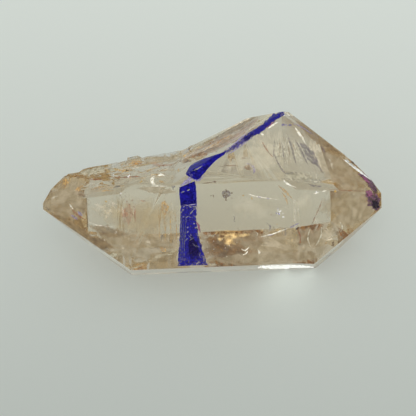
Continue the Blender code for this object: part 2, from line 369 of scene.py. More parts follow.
def roughen_break(crystal):
    """Gives the broken faces the small ripples and steps of quartz, which has no cleavage."""
    mesh = crystal.data
    bpy.context.tool_settings.mesh_select_mode = (False, True, False)
    for _ in range(SPLIT_ROUNDS):
        corners = mesh.vertices
        long_edges = set()
        for face in broken_faces(mesh):
            for a, b in face.edge_keys:
                if (corners[a].co - corners[b].co).length > FINEST * MM:
                    long_edges.add((a, b))
        for edge in mesh.edges:
            edge.select = edge.key in long_edges
        for corner in corners:
            corner.select = False
        for face in mesh.polygons:
            face.select = False
        bpy.ops.object.mode_set(mode="EDIT")
        bpy.ops.mesh.subdivide(number_cuts=1)
        bpy.ops.mesh.select_all(action="SELECT")
        bpy.ops.mesh.quads_convert_to_tris()
        bpy.ops.object.mode_set(mode="OBJECT")
    broken = {face.index for face in broken_faces(mesh)}
    fixed = {v for face in mesh.polygons if face.index not in broken for v in face.vertices}
    # The directions are kept from before the first corner moves, so none depends on the order.
    outwards = [corner.normal.copy() for corner in mesh.vertices]
    for corner, outward in zip(mesh.vertices, outwards):
        if corner.index in fixed:
            continue
        place = corner.co / MM
        # The ripples run along the break, so the pattern is drawn out that way.
        drawn = place - BREAK_RUN * (DRAWN_OUT * place.dot(BREAK_RUN))
        fine = noise.noise(drawn * FINE_RIPPLES_PER_MM + Vector((9, 2, 5)))
        ripple = noise.noise(drawn * RIPPLES_PER_MM) + FINE_SHARE * fine
        level = noise.noise(drawn * STEPS_PER_MM + Vector((3, 7, 1)))
        step = math.floor(STEP_LEVELS * level) / STEP_LEVELS
        corner.co += outward * ((RIPPLE * ripple + STEP * step) * MM)


def make_crystal():
    """The clear crystal: the solid's own shape, with its broken side made finer."""
    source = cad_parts["quartz_crystal"]
    crystal = bpy.data.objects.new("crystal", source.data.copy())
    bpy.context.scene.collection.objects.link(crystal)
    deselect()
    bpy.context.view_layer.objects.active = crystal
    crystal.select_set(True)
    bpy.ops.object.mode_set(mode="EDIT")
    bpy.ops.mesh.select_all(action="SELECT")
    bpy.ops.mesh.remove_doubles(threshold=WELD)
    bpy.ops.mesh.dissolve_limited(angle_limit=LEVEL)
    bpy.ops.mesh.normals_make_consistent(inside=False)
    bpy.ops.object.mode_set(mode="OBJECT")
    roughen_break(crystal)
    bpy.ops.object.shade_smooth_by_angle(angle=SMOOTH)
    crystal.data.materials.clear()
    crystal.data.materials.append(clear_quartz())
    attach(crystal, "root")
    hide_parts("quartz_crystal")
    return crystal


crystal = make_crystal()
outside = BVHTree.FromObject(crystal, bpy.context.evaluated_depsgraph_get())


def beside_crystal(x, up):
    """Whether the picture shows the floor at (x, up) and not the crystal."""
    start = LEFT_TIP + (ALONG * x + UP * up) * MM
    return outside.ray_cast(start + TOWARDS_CAMERA * FAR_OUT, -TOWARDS_CAMERA)[0] is None


def seen_at(x, up, depth=0.0):
    """The place that the picture shows at (x, up), so many mm behind the surface.

    Behind the surface the line of sight goes on as quartz bends it."""
    start = LEFT_TIP + (ALONG * x + UP * up) * MM
    place, normal, _, _ = outside.ray_cast(start + TOWARDS_CAMERA * FAR_OUT, -TOWARDS_CAMERA)
    if place is None:
        place, normal, _, _ = outside.find_nearest(start)
    if depth <= 0.0:
        return place + normal * ((ON_STONE - depth) * MM)
    square = max(normal.dot(TOWARDS_CAMERA), 0.0)
    bend = 1 / QUARTZ_IOR
    bent = -TOWARDS_CAMERA * bend
    bent += normal * (bend * square - math.sqrt(1 - bend * bend * (1 - square * square)))
    return place + bent * (depth * MM)


def smooth_path(stations, t):
    """A point of a smooth curve through the stations, with t from 0 to 1."""
    last = len(stations) - 1
    i = min(int(t * last), last - 1)
    f = t * last - i
    a, b, c, d = (Vector(stations[min(max(k, 0), last)]) for k in (i - 1, i, i + 1, i + 2))
    bow = (a * 2 - b * 5 + c * 4 - d) * f**2
    twist = (b * 3 - a - c * 3 + d) * f**3
    return (b * 2 + (c - a) * f + bow + twist) / 2


def two_edges(path):
    """The long edges of a strip, from a path of (x, up, width)."""
    left, right = [], []
    for i, (x, up, width) in enumerate(path):
        before, after = path[max(i - 1, 0)], path[min(i + 1, len(path) - 1)]
        way = Vector((after[0] - before[0], after[1] - before[1])).normalized()
        left.append((x - way.y * width / 2, up + way.x * width / 2))
        right.append((x + way.y * width / 2, up - way.x * width / 2))
    return left, right


def put_on(piece, name, material):
    """Names a piece, gives it its material and fixes it to the crystal."""
    piece.name = name
    piece.data.materials.append(material)
    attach(piece, "root")


def strip(name, finish, left, right, depth=0.0, across=5, waver=0.0):
    """A closed thin sheet between two edges, laid on the surface or so many mm behind it."""
    length = sum((Vector(b) - Vector(a)).length for a, b in zip(left, left[1:]))
    rows = max(FEWEST_ROWS, min(MOST_ROWS, int(length / ROW)))
    deselect()
    bpy.ops.mesh.primitive_grid_add(x_subdivisions=across, y_subdivisions=rows, size=1.0)
    piece = bpy.context.active_object
    for vertex in piece.data.vertices:
        s, t = vertex.co.x + 0.5, vertex.co.y + 0.5
        one, other = smooth_path(left, t), smooth_path(right, t)
        spot = Vector((t * length * WAVERS_ALONG, s * WAVERS_ACROSS, len(name)))
        shake = waver * noise.noise(spot)
        flat = one.lerp(other, 0.5 + (s - 0.5) * (1 + shake))
        vertex.co = seen_at(flat.x, flat.y, depth)
    bpy.ops.object.mode_set(mode="EDIT")
    bpy.ops.mesh.select_all(action="SELECT")
    bpy.ops.mesh.normals_make_consistent(inside=False)
    bpy.ops.object.mode_set(mode="OBJECT")
    solidify = piece.modifiers.new("thickness", "SOLIDIFY")
    solidify.thickness = FILM * MM
    solidify.offset = 0.0
    bpy.ops.object.modifier_apply(modifier="thickness")
    bpy.ops.object.shade_smooth()
    put_on(piece, name, MATERIALS[finish])


def line(name, finish, path, depth=0.0, across=3, waver=0.5):
    """A strip along a path of (x, up, width)."""
    left, right = two_edges(path)
    strip(name, finish, left, right, depth, across, waver)


# Ink and residue on the surface

# (name, finish, path of (x, up, width) in mm)
INK_RIMS_AND_HIGHLIGHTS = (
    # The first, second and fifth rows are painted lavender highlights along the trail and beside the leaf.
    ("ink_rim_3", "pale_ink_and_glint", ((22.4, 5.45, 0.05), (23.3, 5.85, 0.14), (24.4, 6.75, 0.2), (25.3, 7.4, 0.05))),
    ("ink_rim_4", "pale_ink_and_glint", ((22.6, 4.85, 0.05), (23.5, 5.3, 0.16), (24.6, 6.0, 0.12), (25.4, 6.55, 0.05))),
    ("ink_rim_1", "pale_ink_and_glint",
     ((16.9, 1.4, 0.2), (17.6, 1.72, 0.5), (18.15, 2.1, 0.62), (18.4, 2.6, 0.4), (18.0, 3.0, 0.15))),
    ("ink_rim_2", "pale_ink_and_glint", ((18.4, 2.25, 0.1), (19.2, 1.98, 0.22), (20.0, 2.6, 0.1))),
    ("ink_bleed", "pink_ink", ((18.8, -2.7, 0.1), (19.05, -3.4, 0.35), (19.2, -4.2, 0.15))),
    ("ink_trail_rim", "pink_ink", ((27.3, 7.75, 0.1), (27.9, 8.15, 0.22), (28.6, 8.7, 0.15))),
)

# (name, finish, mm behind the surface, faces across, path)
RESIDUE = (
    ("patch", "plum_residue", 0.0, 8,
     ((38.8, 0.1, 0.6), (39.4, -0.7, 1.5), (39.9, -1.6, 1.6), (40.2, -2.4, 1.0))),
    ("dark", "dark_residue", ON_INK, 6, ((39.5, -0.9, 0.4), (39.9, -1.6, 1.2), (40.3, -2.2, 0.9))),
    ("pink", "pink_ink", ON_INK, 3, ((38.9, 0.1, 0.3), (39.2, -0.3, 0.9), (39.6, -0.6, 0.4))),
    ("magenta", "pink_ink", ON_INK, 3, ((38.4, 1.85, 0.1), (38.9, 1.3, 0.4), (39.4, 0.75, 0.15))),
    ("streak", "plum_residue", 0.0, 6,
     ((37.9, 2.1, 0.2), (38.9, 1.5, 0.8), (39.7, 0.4, 0.8), (40.2, -0.3, 0.3))),
    ("edge", "plum_residue", 0.0, 3,
     ((37.1, 3.75, 0.1), (38.2, 3.0, 0.3), (39.5, 1.8, 0.3), (40.2, 0.7, 0.15))),
)


def make_ink():
    """The band across the front, its leaf and trail along the broken edge, and their rims and painted
    highlights.
    """
    band_left = ((16.97, 1.29), (16.95, 0.4), (17.05, -0.54), (16.96, -1.95), (16.83, -3.71))
    band_left += ((16.7, -5.47), (16.54, -6.41), (16.44, -7.9))
    band_right = ((18.8, 1.92), (18.96, 0.91), (18.97, -0.27), (18.85, -1.68), (18.81, -2.85))
    band_right += ((19.0, -4.4), (19.4, -6.2), (19.9, -7.9))
    top_left, top_right = band_left[:2] + ((17.05, -0.8),), band_right[:2] + ((18.95, -0.65),)
    strip("ink_band_top", "blue_ink", top_left, top_right, across=10, waver=0.08)
    strip("ink_band_worn", "worn_ink", band_left[2:], band_right[2:], across=8, waver=0.1)
    leaf_upper = ((17.8, 2.85), (18.3, 3.65), (18.91, 4.09), (19.87, 4.47), (20.94, 4.78))
    leaf_upper += ((22.01, 5.09), (22.6, 5.35))
    leaf_lower = ((17.85, 2.7), (18.5, 2.25), (19.18, 2.08), (19.91, 2.76), (20.53, 3.44))
    leaf_lower += ((21.4, 4.25), (22.4, 4.9))
    strip("ink_leaf", "blue_ink", leaf_upper, leaf_lower, across=14, waver=0.06)
    trail_upper = ((22.3, 5.25), (23.3, 5.85), (24.3, 6.55), (25.1, 7.15), (26.0, 7.7))
    trail_lower = ((22.3, 4.85), (23.3, 5.3), (24.3, 5.88), (25.2, 6.42), (26.0, 6.98))
    strip("ink_trail_low", "broken_ink", trail_upper, trail_lower, across=8, waver=0.6)
    trail_upper = ((24.7, 6.8), (25.3, 7.3), (26.0, 7.7), (26.95, 8.25), (27.69, 8.9))
    trail_upper += ((28.54, 9.5), (29.6, 9.8))
    trail_lower = ((24.7, 6.35), (25.3, 6.55), (26.0, 6.98), (26.8, 7.35), (27.5, 7.85))
    trail_lower += ((28.3, 8.5), (29.6, 9.3))
    strip("ink_trail_high", "worn_ink", trail_upper, trail_lower, across=8, waver=0.6)
    for name, finish, path in INK_RIMS_AND_HIGHLIGHTS:
        line(name, finish, path)


# How many spots of ink have flaked off, how many ribbons the fan has, how many rosy fibres and
# yellow growth lines there are, and how far apart the lines are in mm.
INK_FLAKES = 22
FAN_RIBBONS = 18
FIBRES = 9
GROWTH_LINES = 8
GROWTH_LINE_GAP = 0.33


def make_ink_wear():
    """The band's darker foot, its scratches, streaks and flakes, and a brighter streak right."""
    foot = ((18.0, -3.6, 0.8), (18.2, -5.0, 1.6), (18.4, -6.5, 2.2), (18.5, -8.0, 2.2))
    line("ink_foot", "dull_ink", foot, ON_INK)
    line("ink_bright", "bright_ink", ((18.6, 1.5, 0.15), (18.68, 0.5, 0.35), (18.6, -0.4, 0.2)), ON_INK)
    scratch = ((17.3, -0.72, 0.08), (18.0, -0.82, 0.16), (18.9, -0.7, 0.08))
    line("ink_scratch_1", "pale_ink_and_glint", scratch, ON_INK)
    line("ink_scratch_2", "pale_ink_and_glint", ((18.9, 1.2, 0.03), (18.95, 0.2, 0.08), (18.9, -2.0, 0.03)), ON_INK)
    for i, x in enumerate((17.08, 17.3, 17.55)):
        path = ((x, -1.6 - 0.5 * i, 0.05), (x - 0.08, -3.6, 0.16), (x - 0.3, -6.0, 0.1))
        path += ((x - 0.35, -7.4, 0.05),)
        line(f"ink_streak_{i + 1}", "thin_ink", path, ON_INK)
    line("ink_chip_1", "bare_flake", ((17.1, 0.62, 0.05), (17.36, 0.75, 0.16), (17.6, 0.84, 0.05)), ON_INK)
    line("ink_chip_2", "bare_flake", ((17.85, 0.88, 0.05), (18.03, 0.93, 0.15), (18.2, 1.05, 0.05)), ON_INK)
    line("ink_chip_3", "bare_flake", ((18.7, 3.2, 0.05), (19.2, 3.35, 0.2), (19.8, 3.7, 0.05)), ON_INK)
    chance = random.Random(5)
    for i in range(INK_FLAKES):
        x, up = 17.2 + 1.6 * chance.random(), -1.0 - 5.6 * chance.random() ** 1.3
        slant, reach = chance.uniform(-0.9, 0.9), 0.12 + 0.22 * chance.random()
        wide = 0.07 + 0.12 * chance.random()
        path = (
            (x - reach * math.cos(slant), up - reach * math.sin(slant), 0.04),
            (x, up + 0.04, wide),
            (x + reach * math.cos(slant), up + reach * math.sin(slant), 0.04),
        )
        line(f"ink_flake_{i + 1}", "bare_flake", path, ON_INK)


def make_residue():
    """The plum residue by the sharp point, with darker and pinker places in it."""
    for place, finish, depth, across, path in RESIDUE:
        line(f"residue_{place}", finish, path, depth, across)


# What is inside


def make_fan():
    """Fractures that spread downwards from the peak, pale and grey by turns."""
    chance = random.Random(7)
    for i in range(FAN_RIBBONS):
        # From 0 at the fan's left edge to 1 at its right.
        spread = i / (FAN_RIBBONS - 1)
        top = Vector((28.3 + 2.6 * spread, 7.0 - 0.5 * abs(spread - 0.4)))
        reach = 2.6 + 1.6 * chance.random()
        slant = -0.1 + 0.55 * spread + 0.12 * chance.random()
        wave = 0.25 * (chance.random() - 0.5)
        broad = 0.5 + 1.6 * chance.random()
        top.y += 0.9 * (chance.random() - 0.5)
        path = []
        for t, width in ((0, 0.05), (0.35, 0.22), (0.7, 0.16), (1, 0.04)):
            across = top.x + slant * reach * t + wave * math.sin(5 * t)
            path.append((across, top.y - reach * t, width * broad))
        finish = ("grey_veil", "pale_ray", "faint_veil", "brown_dust_and_shade", "pale_ray")[i % 5]
        line(f"fan_{i + 1}", finish, path, depth=0.15 + 0.3 * chance.random())


# What follows is (finish, mm behind the surface, path of (x, up, width) in mm).
VEILS = (
    ("pale_ray", 0.2, ((28.55, 6.65, 0.05), (28.8, 5.2, 0.3), (29.4, 3.7, 0.22), (29.75, 3.0, 0.05))),
    ("pale_ray", 0.3, ((28.7, 6.4, 0.05), (28.6, 5.0, 0.2), (28.9, 3.5, 0.15), (29.6, 2.9, 0.05))),
    # Painted highlight on the edge below the peak.
    ("fracture_and_glint", 0.1, ((30.7, 7.9, 0.05), (31.1, 7.3, 0.3), (31.6, 6.5, 0.3), (32.04, 5.6, 0.08))),
    ("grey_veil", 0.1, ((32.04, 5.7, 0.1), (32.8, 4.1, 0.3), (33.6, 2.7, 0.25), (34.15, 1.9, 0.08))),
    ("grey_veil", 0.3, ((28.1, 5.3, 0.1), (28.4, 4.1, 0.25), (29.0, 2.9, 0.25), (29.8, 2.0, 0.08))),
    ("fracture_and_glint", 0.1, ((29.0, 1.8, 0.05), (29.6, 1.2, 0.25), (30.7, 0.65, 0.08))),
    ("fracture_and_glint", 0.4,
     ((24.7, 0.3, 0.04), (25.7, -0.07, 0.14), (26.6, -0.28, 0.12), (28.9, -0.72, 0.04))),
    ("fracture_and_glint", 0.1,
     ((26.1, -4.9, 0.05), (27.4, -4.65, 0.14), (28.4, -4.35, 0.2), (29.5, -4.0, 0.05))),
    ("violet_veil", 0.1, ((27.0, -4.8, 0.05), (27.4, -4.72, 0.14), (27.9, -4.6, 0.05))),
    ("violet_veil", 0.1, ((29.6, -3.95, 0.08), (30.1, -3.75, 0.24), (30.9, -3.4, 0.06))),
    ("violet_veil", 0.1, ((30.4, 8.3, 0.08), (31.2, 8.0, 0.2), (32.1, 7.45, 0.12), (33.8, 6.2, 0.05))),
    ("grey_veil", 0.3, ((33.7, 6.0, 0.1), (34.1, 4.7, 0.4), (34.6, 3.2, 0.5), (34.5, 2.2, 0.1))),
    ("faint_veil", 0.2, ((33.9, 6.2, 0.1), (34.4, 4.8, 0.4), (34.9, 3.4, 0.4), (35.1, 2.2, 0.1))),
    ("fracture_and_glint", 0.05, ((27.3, 7.6, 0.05), (27.8, 7.9, 0.22), (28.3, 8.2, 0.25), (28.9, 8.5, 0.05))),
    ("rust_stain", 0.2, ((26.85, 6.4, 0.05), (27.05, 5.8, 0.2), (27.6, 4.9, 0.14), (28.2, 4.2, 0.05))),
    ("pale_ray", 0.3, ((31.4, 2.6, 0.05), (32.3, 2.3, 0.2), (33.2, 2.5, 0.05))),
    ("pale_ray", 0.3, ((31.9, 1.7, 0.05), (32.9, 1.3, 0.2), (33.9, 1.7, 0.05))),
    ("pale_ray", 0.3, ((33.0, 2.5, 0.05), (33.1, 1.7, 0.2), (33.7, 0.9, 0.05))),
    ("grey_veil", 0.3, ((31.8, 1.2, 0.1), (32.8, 0.8, 0.3), (33.9, 0.7, 0.1))),
    ("fracture_and_glint", 0.1, ((32.5, -0.1, 0.05), (32.9, -0.05, 0.22), (33.3, 0.05, 0.05))),
    ("fracture_and_glint", 0.1, ((33.6, 0.1, 0.05), (33.9, 0.18, 0.16), (34.2, 0.25, 0.05))),
    # Painted lavender glints at the peak.
    ("pale_ink_and_glint", 0.05, ((29.15, 8.1, 0.15), (29.4, 8.14, 0.34), (29.65, 8.1, 0.15))),
    ("pale_ink_and_glint", 0.05, ((29.95, 8.03, 0.12), (30.2, 8.08, 0.28), (30.45, 8.03, 0.12))),
    ("violet_veil", 0.2, ((26.0, -0.15, 0.05), (26.2, -0.2, 0.15), (26.5, -0.3, 0.05))),
    ("violet_veil", 0.2, ((26.9, -0.35, 0.05), (27.2, -0.4, 0.15), (27.5, -0.45, 0.05))),
    ("faint_veil", 0.5, ((30.2, 0.3, 0.1), (30.3, -2.0, 0.35), (30.2, -4.9, 0.1))),
    ("faint_veil", 0.3, ((30.7, 0.2, 0.1), (30.8, -2.5, 0.25), (30.9, -5.0, 0.1))),
    ("pale_ray", 0.1, ((32.1, -4.0, 0.05), (31.75, -5.3, 0.2), (32.1, -6.4, 0.05))),
    ("pale_ray", 0.1, ((33.4, -3.8, 0.05), (33.3, -5.1, 0.22), (32.6, -6.3, 0.05))),
    ("faint_veil", 0.1, ((32.6, -2.4, 0.1), (32.9, -3.5, 0.5), (32.5, -4.8, 0.1))),
    ("pale_ray", 0.1, ((35.4, -3.3, 0.1), (35.9, -4.0, 0.3), (35.6, -4.8, 0.1))),
    ("grey_veil", 0.1, ((26.9, -3.2, 0.06), (27.4, -3.7, 0.25), (27.2, -4.3, 0.06))),
    ("pale_ray", 0.1, ((25.6, -4.2, 0.05), (25.9, -4.5, 0.16), (25.7, -4.9, 0.05))),
    ("faint_veil", 0.2, ((5.3, 2.1, 0.3), (6.6, 1.9, 1.0), (8.2, 1.7, 0.3))),
    ("fracture_and_glint", 0.2, ((3.98, -0.1, 0.06), (4.2, -0.45, 0.16), (4.45, -0.85, 0.06))),
    ("faint_veil", 0.1, ((1.6, 0.45, 0.06), (2.2, 0.7, 0.25), (2.8, 0.9, 0.08))),
    # Painted highlight on a conchoidal chip.
    ("fracture_and_glint", 0.1,
     ((14.2, 2.8, 0.1), (13.9, 2.45, 0.45), (13.85, 1.95, 0.45), (14.3, 1.55, 0.1))),
    ("fracture_and_glint", 0.1, ((14.4, 2.8, 0.06), (14.9, 2.85, 0.35), (15.4, 2.7, 0.06))),
    # Painted glints and shade on the rims of the water hollows.
    ("fracture_and_glint", 0.1,
     ((23.85, -6.1, 0.06), (24.15, -6.35, 0.16), (24.5, -6.35, 0.18), (24.9, -5.95, 0.06))),
    ("fracture_and_glint", 0.1,
     ((23.85, -6.9, 0.06), (24.3, -6.85, 0.15), (24.6, -6.6, 0.12), (24.75, -6.3, 0.05))),
    ("fracture_and_glint", 0.1,
     ((25.75, -6.3, 0.06), (25.95, -6.5, 0.14), (26.05, -6.75, 0.26), (25.9, -6.95, 0.06))),
    ("brown_dust_and_shade", 0.1, ((25.5, -6.4, 0.06), (25.65, -6.6, 0.22), (25.75, -6.8, 0.06))),
    # Painted highlight along the front edge.
    ("fracture_and_glint", 0.1, ((13.4, 1.6, 0.04), (14.6, 1.52, 0.1), (15.8, 1.48, 0.04))),
    ("fracture_and_glint", 0.3, ((6.0, -2.2, 0.04), (7.2, -2.75, 0.1), (10.1, -3.15, 0.04))),
    # Painted highlight above the ink trail.
    ("pale_ray", 0.1, ((24.6, 7.1, 0.06), (25.6, 7.85, 0.2), (26.7, 8.45, 0.25), (27.8, 9.3, 0.08))),
    ("fracture_and_glint", 0.05, ((26.8, 7.6, 0.1), (27.4, 8.0, 0.3), (27.9, 7.9, 0.1))),
    ("fracture_and_glint", 0.05, ((26.7, 7.3, 0.05), (26.9, 7.1, 0.25), (27.1, 7.0, 0.05))),
    ("faint_veil", 0.1, ((16.0, 4.0, 0.1), (18.5, 5.1, 0.4), (22.0, 6.4, 0.4), (25.5, 8.4, 0.1))),
    ("faint_veil", 0.1, ((9.0, 3.4, 0.1), (11.5, 3.9, 0.5), (14.5, 3.6, 0.5), (17.0, 3.5, 0.1))),
    ("faint_veil", 1.5, ((6.5, -0.5, 0.6), (8.5, -0.8, 2.6), (10.5, -1.0, 0.6))),
    ("grey_veil", 0.2, ((23.0, -2.2, 0.04), (23.3, -2.5, 0.12), (23.2, -2.9, 0.12), (23.5, -3.1, 0.04))),
)

